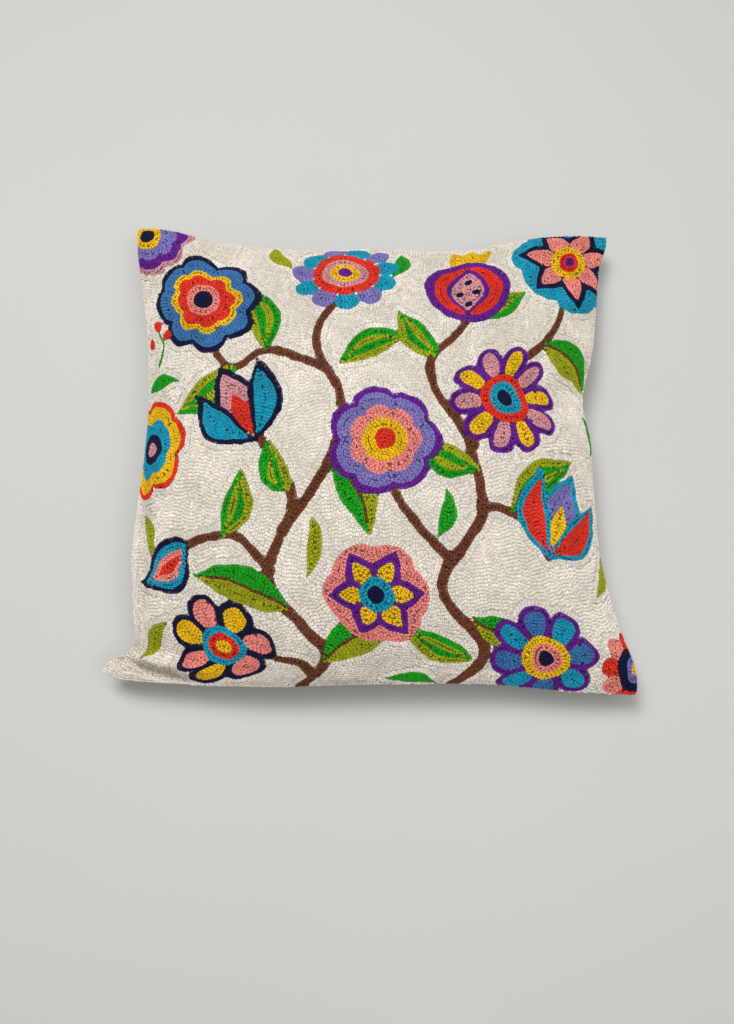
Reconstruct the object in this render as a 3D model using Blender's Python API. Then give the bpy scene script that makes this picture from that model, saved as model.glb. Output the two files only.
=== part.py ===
"""A filled, knife-edged cushion in an embroidered cover, lying on its back with the worked face up.

Metres, +Z up. -Y is the edge that the cushion sits on when it is propped up, so the fill has sunk
towards it and its two corners stand out as flat ears. The origin is on the floor under the middle
of the cushion's box.
"""

import math

import bmesh
import bpy

# Seam corners of the filled cover, in plan: a 450 mm square cover that has drawn in round its fill.
CORNERS = {
    "top_left": (-0.211, 0.213),
    "top_right": (0.216, 0.204),
    "bottom_left": (-0.220, -0.189),
    "bottom_right": (0.220, -0.207),
}

# How far each side seam has drawn in from the straight line between its corners.
# Columns: share of the way along the side, draw in metres.
TOP_DRAW = ((0.0, 0.0), (0.06, 0.0025), (0.19, 0.018), (0.35, 0.025), (0.53, 0.0235), (0.68, 0.023),
            (0.83, 0.008), (0.93, 0.0015), (1.0, 0.0))
LEFT_DRAW = ((0.0, 0.0), (0.022, 0.003), (0.052, 0.0245), (0.12, 0.0235), (0.24, 0.0195), (0.46, 0.0250),
             (0.57, 0.0250), (0.72, 0.0195), (0.84, 0.0105), (0.94, 0.002), (1.0, 0.0))
RIGHT_DRAW = ((0.0, 0.0), (0.05, 0.0005), (0.13, 0.0125), (0.26, 0.0255), (0.39, 0.0290), (0.52, 0.0295),
              (0.605, 0.0345), (0.71, 0.0235), (0.82, 0.0160), (0.92, 0.0100), (0.97, 0.002), (1.0, 0.0))
BOTTOM_DRAW = ((0.0, 0.0), (0.04, -0.0055), (0.30, -0.0065), (0.48, -0.0015), (0.72, 0.0035),
               (0.86, 0.0005), (1.0, 0.0))

# Heights above the floor, and the fill's crown to each side of the seam.
SEAM_HEIGHT = 0.046
CORNER_DROP = 0.013
FRONT_CROWN = 0.070
BACK_CROWN = 0.062
EDGE_THICKNESS = 0.003
CROWN_POWER = 0.60
SINK_OF_FILL = 0.26
FLOOR_BLEND = 0.004

# Soft folds, in plan, deepest at their start. Columns: start, end, half width, depth (minus is a ridge).
FRONT_FOLDS = (
    ((-0.208, -0.170), (-0.090, -0.194), 0.0090, 0.0140),
    ((-0.216, -0.190), (-0.130, -0.200), 0.0080, -0.0050),
    ((-0.192, -0.168), (-0.182, -0.120), 0.0070, 0.0040),
    ((0.201, -0.118), (0.192, -0.172), 0.0090, 0.0050),
    ((0.218, -0.200), (0.150, -0.140), 0.0110, -0.0040),
    ((0.188, 0.046), (0.146, 0.036), 0.0110, 0.0070),
    ((0.196, 0.084), (0.150, 0.078), 0.0120, -0.0030),
    ((0.194, 0.006), (0.148, 0.002), 0.0120, -0.0025),
    ((0.204, 0.186), (0.130, 0.126), 0.0110, 0.0050),
    ((-0.200, 0.196), (-0.120, 0.136), 0.0120, 0.0050),
    ((-0.184, 0.030), (-0.140, 0.018), 0.0120, 0.0030),
)
BACK_FOLDS = (
    ((-0.200, -0.172), (-0.120, -0.110), 0.0120, 0.0050),
    ((0.204, -0.188), (0.124, -0.116), 0.0120, 0.0050),
    ((0.200, 0.190), (0.124, 0.122), 0.0120, 0.0045),
    ((-0.196, 0.198), (-0.122, 0.128), 0.0120, 0.0045),
)

# How soon the folds reach their full depth as the fill rises from the seam.
FOLD_HOLD = 6.0

# Cells of the mesh along each side of a face, and how much they crowd towards the seam.
CELLS = 44
CROWDING = 0.72

COVER_COLOUR = (0.78, 0.72, 0.60)
COVER_ROUGHNESS = 0.85


def smooth_table(rows, along):
    """Reads a table at a share of the way along, as a smooth curve through its rows."""
    last = len(rows) - 1
    row = max(index for index in range(last) if rows[index][0] <= along)
    before, low, high, after = (rows[min(last, max(0, row + step))] for step in (-1, 0, 1, 2))
    span = high[0] - low[0]
    leaving = span * (high[1] - before[1]) / (high[0] - before[0])
    arriving = span * (after[1] - low[1]) / (after[0] - low[0])
    part = (along - low[0]) / span
    rise = part * part * (3 - 2 * part)
    return (low[1] + (high[1] - low[1]) * rise
            + leaving * part * (1 - part) ** 2 - arriving * part * part * (1 - part))


def side_point(start, end, draws, inward, along):
    """A point of a side seam: on the straight line between two corners, drawn in along inward."""
    ax, ay = CORNERS[start]
    bx, by = CORNERS[end]
    draw = smooth_table(draws, along)
    return (ax + (bx - ax) * along + inward[0] * draw, ay + (by - ay) * along + inward[1] * draw)


def plan(across, up):
    """Where a point of the flat square panel lies in plan, both shares running from 0 to 1."""
    bottom = side_point("bottom_left", "bottom_right", BOTTOM_DRAW, (0, 1), across)
    top = side_point("top_left", "top_right", TOP_DRAW, (0, -1), across)
    left = side_point("bottom_left", "top_left", LEFT_DRAW, (1, 0), up)
    right = side_point("bottom_right", "top_right", RIGHT_DRAW, (-1, 0), up)
    corners = (
        (CORNERS["bottom_left"], (1 - across) * (1 - up)),
        (CORNERS["bottom_right"], across * (1 - up)),
        (CORNERS["top_left"], (1 - across) * up),
        (CORNERS["top_right"], across * up),
    )
    return tuple(
        (1 - up) * bottom[axis] + up * top[axis] + (1 - across) * left[axis] + across * right[axis]
        - sum(corner[axis] * share for corner, share in corners)
        for axis in (0, 1)
    )


def crowd(share):
    """Moves evenly spaced shares towards 0 and 1, where the crown turns down to the seam."""
    return (1 - CROWDING) * share + CROWDING * (0.5 - 0.5 * math.cos(math.pi * share))


def arch(share):
    """0 at both ends of a side and 1 in its middle."""
    return max(0.0, 4 * share * (1 - share))


def fill_height(across, up):
    """How far the fill lifts a face off the seam's plane: 0 round the edge, about 1 in the middle."""
    dome = (arch(across) * arch(up)) ** CROWN_POWER
    return dome * (1 + SINK_OF_FILL * (0.5 - up))


def seam_height(across, up):
    """The seam's height above the floor: lower towards the corners."""
    reach = abs(2 * across - 1) * abs(2 * up - 1)
    return SEAM_HEIGHT - CORNER_DROP * reach**2


def trough(x, y, start, end, half_width, depth):
    """The drop that one fold makes at a point: a soft trough round the line from start to end."""
    run = (end[0] - start[0], end[1] - start[1])
    length_squared = run[0] ** 2 + run[1] ** 2
    along = ((x - start[0]) * run[0] + (y - start[1]) * run[1]) / length_squared
    held = min(1.0, max(0.0, along))
    gap = math.hypot(x - start[0] - held * run[0], y - start[1] - held * run[1])
    fading = 0.5 + 0.5 * math.cos(math.pi * held)
    return depth * fading * math.exp(-((gap / half_width) ** 2))


def above_floor(height):
    """Lays anything that would reach below the floor flat on it, with a soft turn at the edge."""
    if height <= -FLOOR_BLEND:
        return 0.0
    if height < FLOOR_BLEND:
        return (height + FLOOR_BLEND) ** 2 / (4 * FLOOR_BLEND)
    return height


def lift(crown, folds, across, up, x, y):
    """How far a face stands off the seam's plane. Its folds fade out at the seam, which stays whole."""
    fill = fill_height(across, up)
    hold = 1 - math.exp(-FOLD_HOLD * fill)
    drop = sum(trough(x, y, *fold) for fold in folds)
    return max(0.0, crown * fill - hold * drop)


def front_height(across, up, x, y):
    """Height of the worked face."""
    return seam_height(across, up) + EDGE_THICKNESS / 2 + lift(FRONT_CROWN, FRONT_FOLDS, across, up, x, y)


def back_height(across, up, x, y):
    """Height of the plain back, which lies flat on the floor under its middle."""
    sunk = lift(BACK_CROWN, BACK_FOLDS, across, up, x, y)
    return above_floor(seam_height(across, up) - EDGE_THICKNESS / 2 - sunk)


def add_face(mesh, height):
    """Adds one face of the cushion to the mesh: a square grid laid in the seam's outline."""
    grid = bmesh.ops.create_grid(mesh, x_segments=CELLS, y_segments=CELLS, size=0.5)
    for vertex in grid["verts"]:
        across, up = crowd(vertex.co.x + 0.5), crowd(vertex.co.y + 0.5)
        x, y = plan(across, up)
        vertex.co = (x, y, height(across, up, x, y))


def centre_on_floor(mesh):
    """Moves the cushion so that its box is centred on the origin in plan and stands on the floor."""
    xs, ys, zs = zip(*(vertex.co for vertex in mesh.verts))
    shift = (-(min(xs) + max(xs)) / 2, -(min(ys) + max(ys)) / 2, -min(zs))
    bmesh.ops.translate(mesh, verts=mesh.verts, vec=shift)


def cover_material():
    material = bpy.data.materials.new("cover_cloth")
    material.use_nodes = True
    shader = material.node_tree.nodes["Principled BSDF"]
    shader.inputs["Base Color"].default_value = (*COVER_COLOUR, 1.0)
    shader.inputs["Roughness"].default_value = COVER_ROUGHNESS
    shader.inputs["Metallic"].default_value = 0.0
    return material


def build_cushion(collection):
    """One filled solid: the worked face, the back, and the sewn edge that joins them."""
    mesh = bmesh.new()
    add_face(mesh, back_height)
    bmesh.ops.reverse_faces(mesh, faces=mesh.faces)
    add_face(mesh, front_height)
    rim = [edge for edge in mesh.edges if edge.is_boundary]
    bmesh.ops.bridge_loops(mesh, edges=rim)
    bmesh.ops.recalc_face_normals(mesh, faces=mesh.faces)
    centre_on_floor(mesh)
    bmesh.ops.triangulate(mesh, faces=mesh.faces)

    data = bpy.data.meshes.new("cushion")
    mesh.to_mesh(data)
    mesh.free()
    data.shade_smooth()
    data.materials.append(cover_material())
    cushion = bpy.data.objects.new("cushion", data)
    collection.objects.link(cushion)
    return cushion


def main():
    for old in list(bpy.data.objects):
        bpy.data.objects.remove(old)
    collection = bpy.data.collections.new("embroidered_cushion")
    bpy.context.scene.collection.children.link(collection)
    build_cushion(collection)


main()
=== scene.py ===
"""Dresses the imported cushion: its simulated cover, its chain stitches, and the stage for its picture."""

import math

import bmesh
import bpy
import numpy as np
from bpy.props import FloatProperty, FloatVectorProperty, IntProperty, PointerProperty
from mathutils import Matrix, Vector
from mathutils.bvhtree import BVHTree


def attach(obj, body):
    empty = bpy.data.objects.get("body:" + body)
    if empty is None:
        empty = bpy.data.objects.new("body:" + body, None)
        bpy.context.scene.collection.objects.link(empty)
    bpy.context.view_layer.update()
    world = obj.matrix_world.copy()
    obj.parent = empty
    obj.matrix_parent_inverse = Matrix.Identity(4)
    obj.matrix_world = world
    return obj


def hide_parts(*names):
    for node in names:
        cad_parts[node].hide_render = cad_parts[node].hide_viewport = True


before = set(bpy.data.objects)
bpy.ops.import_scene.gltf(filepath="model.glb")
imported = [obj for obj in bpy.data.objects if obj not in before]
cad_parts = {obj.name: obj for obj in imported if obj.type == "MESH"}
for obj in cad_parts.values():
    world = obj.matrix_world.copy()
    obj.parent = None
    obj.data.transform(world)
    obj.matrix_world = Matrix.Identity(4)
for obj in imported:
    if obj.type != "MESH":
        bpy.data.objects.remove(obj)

bl_info = {
    "name": "Embroidered Cushion Cover",
    "version": (1, 0, 0),
    "blender": (4, 5, 0),
    "location": "3D View > Sidebar > Cushion",
    "description": "Sews, fills and embroiders a cushion cover round the packed cushion",
    "category": "Add Mesh",
}

MM = 0.001

# The worked panel is a 436 mm square inside its seams. Its pattern is worked out on a raster of 0.5 mm.
PANEL = 436.0
PIXEL = 0.5

# The cover's mesh before it is subdivided: cells along each side of a panel.
CELLS = 80

# sRGB colours of the yarns, as spun and dyed.
YARNS = {
    "ecru": "E1D9CD",
    "brown": "6C3B24",
    "leaf": "189A18",
    "olive": "99A014",
    "navy": "0C0F38",
    "red": "DA3220",
    "coral": "E6877E",
    "pink": "CC8F93",
    "yellow": "E6B612",
    "blue": "3A71A8",
    "turquoise": "1594B2",
    "purple": "611B89",
    "lavender": "7C74B4",
}

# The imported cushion's edge, between its two faces, in metres.
EDGE = 0.003

# Rounds of evening out, in which a panel's rows and columns are spaced alike over a curved face.
EVENING_ROUNDS = 6

# One link of chain stitch: its length and width, and the pitch that they belong to, in millimetres.
LINK_LENGTH, LINK_WIDTH = 3.6, 2.5
PITCH_OF_TEMPLATE = 3.0

# How uneven the links are: their places and heights in millimetres, turns in degrees, and shares of
# their fullness and of their yarn's colour, which strays by MOST_TONE at most.
PLACE_ERROR, HEIGHT_ERROR, TURN_ERROR, FULLNESS_ERROR, TONE_ERROR = 0.10, 0.05, 4, 0.05, 0.07
MOST_TONE = 0.2

# Painted shade between the links: the share of its yarn's colour that the front's cloth is painted in.
# The pale ground's gaps are painted less dark.
PAINTED_GAP_SHADE, PAINTED_GROUND_GAP_SHADE = 0.22, 0.62

# The mesh attribute that holds each point's place on the flat panel in millimetres, and its side:
# 1 on the front, -1 on the back and 0 in the seam. Above FRONT a point is on the front.
PLACE = "panel"
FRONT = 0.99

# Share of the baked square that stays free along its sides, and how far from the seam (0) to the
# front (1) every point of a face has to be for the face to be baked with the front.
BAKE_MARGIN, BAKED_FRONT = 0.01, 0.49

# How far in from the seam the cloth is held while it is filled, and over how far each of these
# comes in: the taking off of the swell, the creases and the lowering under the stitches. Millimetres.
HELD_WIDTH = 12
SWELL_EASE, CREASE_EASE, PILE_EASE = 30, 7, 6

# Cells to each side over which the swell is evened out.
SWELL_REACH = 5

# The simulated cloth, a cotton duck that holds a filling, and how many frames it is given to settle.
CLOTH = {
    "quality": 6,
    "mass": 0.35,
    "tension_stiffness": 25,
    "compression_stiffness": 12,
    "shear_stiffness": 8,
    "bending_stiffness": 4,
    "air_damping": 4,
    "use_pressure": True,
    "vertex_group_mass": "seam",
}
FRAMES = 20

# The camera: what it points at, from how far and how high, and how far right of and above the
# picture's middle that place lies. The last two and the focal length are in pixels of the picture.
AIM = (0.0005, -0.01175, 0.04275)
DISTANCE = 0.9025
ELEVATION = 74
RIGHT_OF_MIDDLE, ABOVE_MIDDLE = 3, 52
FOCAL_PIXELS, PICTURE_HEIGHT = 1055, 1024
SENSOR_WIDTH = 36.0

# The soft boxes and what they point at. Columns: name, place and size in metres, share of the power.
LIGHTS = (
    ("key", (-0.32, 0.40, 1.8), 0.7, 1.0),
    ("fill", (0.45, -0.30, 1.7), 1.2, 0.45),
)
LIT = (0, 0, 0.05)

# The even light of the room round the cushion, and half the length of its floor in metres.
ROOM_COLOUR, ROOM_STRENGTH = "F4F3F1", 0.36
FLOOR_REACH = 8


def linear(colour):
    """An sRGB hex colour as linear red, green and blue."""
    parts = (int(colour[start:start + 2], 16) / 255 for start in (0, 2, 4))
    return tuple(part / 12.92 if part <= 0.04045 else ((part + 0.055) / 1.055) ** 2.4 for part in parts)


# The garden on the panel. Places are in millimetres from the panel's middle and turns in degrees
# from +u, which runs to the right. +v runs up.

LIGHT_BELOW, LIGHT_ABOVE = ("leaf", "olive"), ("olive", "leaf")

# Columns: the curve's points, its width at the start and at the end.
STEMS = (
    (((-58, -230), (-46, -172), (-78, -112), (-58, -52), (-88, 2)), (11.0, 7.5)),
    (((-75, -104), (-104, -78), (-138, -84), (-160, -100)), (8.2, 6.2)),
    (((-66, -74), (-32, -22), (-20, 36), (-46, 92), (-22, 140)), (8.8, 6.6)),
    (((58, -230), (84, -176), (58, -120), (94, -64), (84, 0), (112, 30)), (11.0, 7.5)),
    (((68, -100), (34, -62), (16, -30)), (8.2, 6.2)),
    (((93, -58), (124, -66), (150, -100)), (8.2, 6.2)),
    (((86, -6), (54, 64), (82, 108), (90, 140)), (8.8, 6.2)),
    (((-32, 62), (-84, 82), (-118, 66), (-150, 104)), (8.2, 6.2)),
    (((120, 56), (160, 96), (182, 146)), (8.2, 6.2)),
    (((-50, -200), (-66, -184), (-96, -178)), (7.4, 6.2)),
)

# Columns: root, turn, length, width, greens, bend.
LEAVES = (
    ((-50, -184), 24, 76, 32, LIGHT_BELOW, 7),
    ((-64, -136), 163, 82, 33, LIGHT_ABOVE, -8),
    ((-62, -44), 112, 50, 25, LIGHT_BELOW, 5),
    ((-28, -14), -64, 74, 31, LIGHT_ABOVE, 7),
    ((-24, 66), 26, 66, 28, LIGHT_BELOW, 6),
    ((78, -146), -28, 84, 32, LIGHT_BELOW, -7),
    ((74, -186), 148, 62, 27, LIGHT_ABOVE, 5),
    ((92, -28), 150, 62, 27, LIGHT_BELOW, 6),
    ((118, -62), 34, 78, 30, LIGHT_ABOVE, 7),
    ((60, 74), 128, 58, 25, LIGHT_ABOVE, 5),
    ((152, 88), -28, 76, 31, LIGHT_BELOW, 6),
    ((-88, 82), 104, 70, 29, LIGHT_ABOVE, -6),
    ((-114, -80), 80, 60, 26, LIGHT_BELOW, -6),
    ((-112, 68), 214, 76, 30, LIGHT_BELOW, 7),
    ((84, 118), 22, 58, 25, LIGHT_ABOVE, -5),
)

# Single blades. Columns: root, turn, length, width, green, bend.
SPRIGS = (
    ((-42, -62), -97, 50, 13, "olive", 6),
    ((58, -82), 82, 42, 12, "leaf", -6),
    ((212, -10), 97, 42, 14, "leaf", -6),
    ((-204, -190), 52, 50, 14, "olive", 6),
    ((10, -208), -12, 46, 14, "leaf", 6),
    ((196, -132), 62, 44, 14, "olive", -6),
    ((-212, 44), 12, 46, 13, "leaf", 6),
    ((28, 200), -100, 44, 13, "leaf", 6),
    ((-86, 214), -62, 46, 14, "olive", -6),
    ((-200, -62), -66, 44, 13, "olive", 6),
)


def waver(u, v, size, seed):
    """The unsteadiness of a drawn line: a smooth drift of about 1 at most, over size millimetres."""
    rng = np.random.default_rng(seed)
    total = np.zeros_like(u)
    for _ in range(6):
        angle, phase = rng.uniform(0, 2 * math.pi, 2)
        length = size * rng.uniform(0.7, 1.5)
        total += np.sin((u * math.cos(angle) + v * math.sin(angle)) * 2 * math.pi / length + phase)
    return total / 6


def place_of(pixel):
    """Where on the panel a pixel's middle is, along one side."""
    return (pixel + 0.5) * PIXEL - PANEL / 2


def beyond(place, turn, distance):
    """The point at a distance from a place, in the direction of a turn."""
    angle = math.radians(turn)
    return place[0] + distance * math.cos(angle), place[1] + distance * math.sin(angle)


def around(count, turn):
    """Evenly spaced turns, starting with the given one."""
    return [turn + 360 * step / count for step in range(count)]


def smooth_line(points):
    """A smooth curve in seven steps from point to point, and each step's share of the way along."""
    p = np.array([points[0], *points, points[-1]], float)
    t = np.linspace(0, 1, 7, endpoint=False)[:, None]
    line = [
        0.5 * (2 * b + (c - a) * t + (2 * a - 5 * b + 4 * c - d) * t**2 + (3 * b - a - 3 * c + d) * t**3)
        for a, b, c, d in zip(p, p[1:], p[2:], p[3:])
    ]
    line = np.vstack([*line, p[-1:]])
    lengths = np.r_[0, np.cumsum(np.hypot(*np.diff(line, axis=0).T))]
    return line, lengths / lengths[-1]


class Pattern:
    """The drawing on the panel: which zone each pixel is in, and each zone's yarn. Zone 0 is the ground.

    A motif's proportions are shares of its own size. What its parts leave free for a rim, and the
    small parts that don't grow with it, are in millimetres.
    """

    # The rim of a round petal on one side, and of a pointed one on both: two or more rows of stitches.
    ROUND_RIM, POINTED_RIM = 4.6, 9.6

    # How far past its reach a shape is still drawn, to leave room for the unsteady line.
    MARGIN = 4

    def __init__(self):
        self.count = round(PANEL / PIXEL)
        places = place_of(np.arange(self.count))
        u, v = np.meshgrid(places, places)
        self.u = u + 1.6 * waver(u, v, 26, 1) + 0.7 * waver(u, v, 9, 2)
        self.v = v + 1.6 * waver(u, v, 26, 3) + 0.7 * waver(u, v, 9, 4)
        self.zone = np.zeros((self.count, self.count), np.int32)
        self.yarns = ["ecru"]

    def window(self, place, reach):
        """The part of the raster within reach of a place."""
        spans = []
        for middle in (place[1], place[0]):
            low = int((middle - reach - self.MARGIN + PANEL / 2) / PIXEL)
            high = int((middle + reach + self.MARGIN + PANEL / 2) / PIXEL)
            spans.append(slice(min(self.count, max(0, low)), max(0, min(self.count, high))))
        return tuple(spans)

    def local(self, window, place, turn):
        """The window's pixels as seen from a place, with x in the direction of a turn."""
        angle = math.radians(turn)
        du, dv = self.u[window] - place[0], self.v[window] - place[1]
        return du * math.cos(angle) + dv * math.sin(angle), dv * math.cos(angle) - du * math.sin(angle)

    def paint(self, window, inside, yarn):
        """Makes the pixels inside a shape a zone of one yarn."""
        self.zone[window][inside] = len(self.yarns)
        self.yarns.append(yarn)

    def disc(self, place, radius, yarn):
        """A round."""
        window = self.window(place, radius)
        x, y = self.local(window, place, 0)
        self.paint(window, x * x + y * y < radius * radius, yarn)

    def discs(self, place, rows):
        """Discs one on the other, largest first."""
        for radius, yarn in rows:
            self.disc(place, radius, yarn)

    def petal(self, root, turn, length, width, yarn, inset=0.0):
        """A rounded petal from its root outwards, fuller towards its end."""
        window = self.window(root, length)
        x, y = self.local(window, root, turn)
        half = length / 2
        along = (x - half) / (half - inset)
        across = y / ((width / 2 - inset) * (1 + 0.35 * np.clip(along, -1, 1)))
        self.paint(window, along * along + across * across < 1, yarn)

    def rib(self, root, turn, length, bend):
        """A window, and its pixels as seen from a leaf's bent rib: along it as a share, and across it."""
        window = self.window(root, length + abs(bend))
        x, y = self.local(window, root, turn)
        share = x / length
        return window, share, y - bend * 4 * share * (1 - share)

    def blade(self, root, turn, length, width, yarn, bend=0.0, inset=0.0, side=0, peak=0.45):
        """A pointed leaf or petal, widest at peak. A side of 1 or -1 keeps the half on that side."""
        window, share, across = self.rib(root, turn, length, bend)
        held = np.clip(share, 0, 1)
        half = width / 2 * np.sin(math.pi * held ** (math.log(0.5) / math.log(peak)))
        inside = (np.abs(across) < half - inset) & (share > 0) & (share < 1)
        if side:
            inside &= across * side > 0
        self.paint(window, inside, yarn)

    def leaf(self, root, turn, length, width, greens, bend):
        """A leaf of two greens: a wide one has a brown rib, a narrow one bands that change at its rib."""
        for side, outer, inner in ((1, *greens), (-1, *greens[::-1])):
            self.blade(root, turn, length, width, outer, bend, side=side)
            if width <= 30:
                self.blade(beyond(root, turn, 5), turn, length - 14, width * 0.48, inner, bend, side=side)
        if width > 30:
            window, share, across = self.rib(root, turn, length, bend)
            self.paint(window, (np.abs(across) < 1.3) & (share > 0) & (share < 0.86), "brown")

    def scallop(self, place, radius, turn, lobes, yarn, depth=0.16):
        """A round with a lobed edge."""
        window = self.window(place, radius)
        x, y = self.local(window, place, turn)
        lobe = 1 - depth * (1 - np.abs(np.cos(np.arctan2(y, x) * lobes / 2)) ** 0.8)
        self.paint(window, np.hypot(x, y) < radius * lobe, yarn)

    def stem(self, points, widths, yarn="brown"):
        """A stem along a smooth curve through points, from one width to another."""
        line, share = smooth_line(points)
        gap = np.full(self.u.shape, 1e9)
        for start, end, low, high in zip(line, line[1:], share, share[1:]):
            run = end - start
            window = self.window((start + end) / 2, np.hypot(*run) / 2 + max(widths))
            du, dv = self.u[window] - start[0], self.v[window] - start[1]
            part = np.clip((du * run[0] + dv * run[1]) / (run @ run), 0, 1)
            width = widths[0] + (widths[1] - widths[0]) * (low + (high - low) * part)
            near = np.hypot(du - part * run[0], dv - part * run[1]) - width / 2
            gap[window] = np.minimum(gap[window], near)
        self.paint((slice(None), slice(None)), gap < 0, yarn)

    def rosette(self, place, radius, turn, lobes, layers, core):
        """Scalloped rounds, one inside the other. Layers: share of the radius, yarn."""
        for share, yarn in layers:
            self.scallop(place, radius * share, turn, lobes, yarn)
        self.discs(place, core)

    def daisy(self, place, radius, turn, petals, yarns, rim, core):
        """Rounded petals with a rim, round a core."""
        start = core[0][0] * 0.55
        length, width = radius - start, 2 * math.pi * radius * 0.71 / petals
        for inset, colours in ((0.0, (rim,)), (self.ROUND_RIM, yarns)):
            for step, way in enumerate(around(petals, turn)):
                root, yarn = beyond(place, way, start), colours[step % len(colours)]
                self.petal(root, way, length, width, yarn, inset)
        self.discs(place, core)

    def star(self, place, radius, turn, points, ground, edge, inner, core):
        """Pointed petals on a scalloped ground."""
        self.scallop(place, radius, turn, points, ground, 0.10)
        length, width = radius * 0.92, math.pi * radius * 1.15 / points
        for way in around(points, turn):
            self.blade(place, way, length, width, edge)
        for way in around(points, turn):
            self.blade(beyond(place, way, 7), way, length - 15, width - 11, inner)
        self.discs(place, core)

    def wheel(self, place, radius, turn, beads, yarns, disc, core):
        """Round beads in a ring round a scalloped disc."""
        bead = math.pi * radius * 0.784 / beads
        for step, way in enumerate(around(beads, turn)):
            self.disc(beyond(place, way, radius - bead), bead, yarns[step % len(yarns)])
        self.scallop(place, radius - 1.6 * bead, turn, beads, disc, 0.06)
        self.discs(place, core)

    def tulip(self, place, turn, size, cup, side, heart, edge):
        """A cup flower from the side: two leaning petals in front of a full middle one."""
        self.blade(place, turn, size, size * 0.62, edge, peak=0.42)
        full = size * 0.62 - self.POINTED_RIM
        self.blade(beyond(place, turn, 3), turn, size - 11, full, cup, peak=0.42)
        self.blade(beyond(place, turn, 8), turn, size * 0.52, size * 0.22, heart, peak=0.5)
        length, width = size * 0.98, size * 0.40
        for sign in (1, -1):
            way = turn + 27 * sign
            self.blade(place, way, length, width, edge, 9 * sign, peak=0.5)
            narrow = width - self.POINTED_RIM
            self.blade(beyond(place, way, 6), way, length - 15, narrow, side, 9 * sign, peak=0.5)

    def fruit(self, place, turn, size, skin, flesh, heart, seed, crown):
        """A round fruit with a crown, cut to show an almond of seeds."""
        for lean in (-26, 0, 26):
            root = beyond(place, turn + lean * 0.2, size * 0.34)
            self.blade(root, turn + lean, size * 0.42, size * 0.2, crown)
        self.discs(place, ((size * 0.46, skin), (size * 0.46 - 7, flesh)))
        root = beyond(place, turn + 180, size * 0.36)
        length, width = size * 0.72, size * 0.46
        self.blade(root, turn, length, width, skin, peak=0.5)
        self.blade(beyond(root, turn, 4), turn, length - 9, width - self.POINTED_RIM, heart, peak=0.5)
        for share, aside in ((-0.2, 0), (-0.04, -0.085), (-0.04, 0.085), (0.13, 0)):
            middle = beyond(beyond(place, turn, share * size), turn + 90, aside * size)
            self.disc(middle, 3.5, seed)

    def drop(self, place, turn, size, bands):
        """A curled drop in bands. Bands: inset, yarn."""
        for inset, yarn in bands:
            self.blade(place, turn, size, size * 0.62, yarn, size * 0.16, inset, peak=0.38)

    def berries(self, points, places, yarn):
        """A sprig with a round berry at each place."""
        self.stem(points, (3.0, 2.6), "leaf")
        for place in places:
            self.disc(place, 5.2, yarn)


def draw_garden():
    """The whole drawing, from the back to the front."""
    p = Pattern()
    for stem in STEMS:
        p.stem(*stem)
    for leaf in LEAVES:
        p.leaf(*leaf)
    for sprig in SPRIGS:
        p.blade(*sprig)
    p.rosette((-146, 132), 53, 8, 8, ((1, "navy"), (0.89, "blue"), (0.66, "yellow"), (0.54, "red")),
              ((16, "coral"), (9, "navy")))
    p.wheel((-20, 166), 47, 9, 11, ("turquoise", "lavender"), "red",
            ((20, "pink"), (13, "yellow"), (6.5, "purple")))
    p.fruit((86, 146), 86, 82, "purple", "red", "pink", "navy", "yellow")
    p.star((184, 180), 56, 20, 7, "turquoise", "navy", "coral", ((17, "yellow"), (10, "red"), (5, "purple")))
    p.daisy((120, 34), 50, 4, 10, ("yellow", "pink"), "purple",
            ((22, "red"), (15, "turquoise"), (7.5, "navy")))
    p.tulip((-92, 0), 118, 76, "pink", "turquoise", "red", "navy")
    p.rosette((14, -2), 47, 0, 7, ((1, "purple"), (0.88, "lavender"), (0.64, "coral")),
              ((18, "yellow"), (9, "red")))
    p.rosette((-200, -6), 44, 20, 6, ((1, "red"), (0.88, "yellow"), (0.62, "turquoise")),
              ((14, "navy"), (7, "pink")))
    p.drop((-146, -84), 212, 66, ((0, "navy"), (5, "turquoise"), (11, "coral"), (16.5, "red")))
    p.tulip((150, -100), 66, 78, "lavender", "red", "yellow", "turquoise")
    p.star((6, -126), 42, 0, 6, "coral", "purple", "yellow", ((14, "turquoise"), (7, "navy")))
    p.daisy((134, -184), 46, 8, 8, ("blue", "turquoise"), "purple",
            ((20, "yellow"), (13, "coral"), (7, "navy")))
    p.daisy((-128, -170), 44, 5, 7, ("coral", "yellow"), "navy",
            ((18, "turquoise"), (12, "red"), (6, "yellow")))
    p.rosette((-208, 208), 48, 0, 9, ((1, "pink"), (0.86, "purple"), (0.6, "lavender")),
              ((14, "yellow"), (7, "navy")))
    p.wheel((216, -196), 34, 12, 9, ("red", "coral"), "navy", ((11, "lavender"), (5, "yellow")))
    p.berries(((-196, 70), (-190, 88), (-198, 104)), ((-200, 109), (-186, 98), (-207, 92)), "red")
    return p


def edge_distance(zone, reach):
    """How far each pixel is from the edge of its zone, in millimetres, up to reach."""
    steps = int(reach / PIXEL)
    edge = np.zeros(zone.shape, bool)
    edge[:, 1:] |= zone[:, 1:] != zone[:, :-1]
    edge[1:, :] |= zone[1:, :] != zone[:-1, :]
    squares = np.where(edge, 0.0, 4.0 * steps * steps).astype(np.float32)
    for axis in (0, 1):
        lines = squares if axis == 0 else squares.T
        best = lines.copy()
        for shift in range(1, steps + 1):
            np.minimum(best[shift:], lines[:-shift] + shift * shift, out=best[shift:])
            np.minimum(best[:-shift], lines[shift:] + shift * shift, out=best[:-shift])
        squares = best if axis == 0 else best.T
    return np.sqrt(squares) * PIXEL


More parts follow.
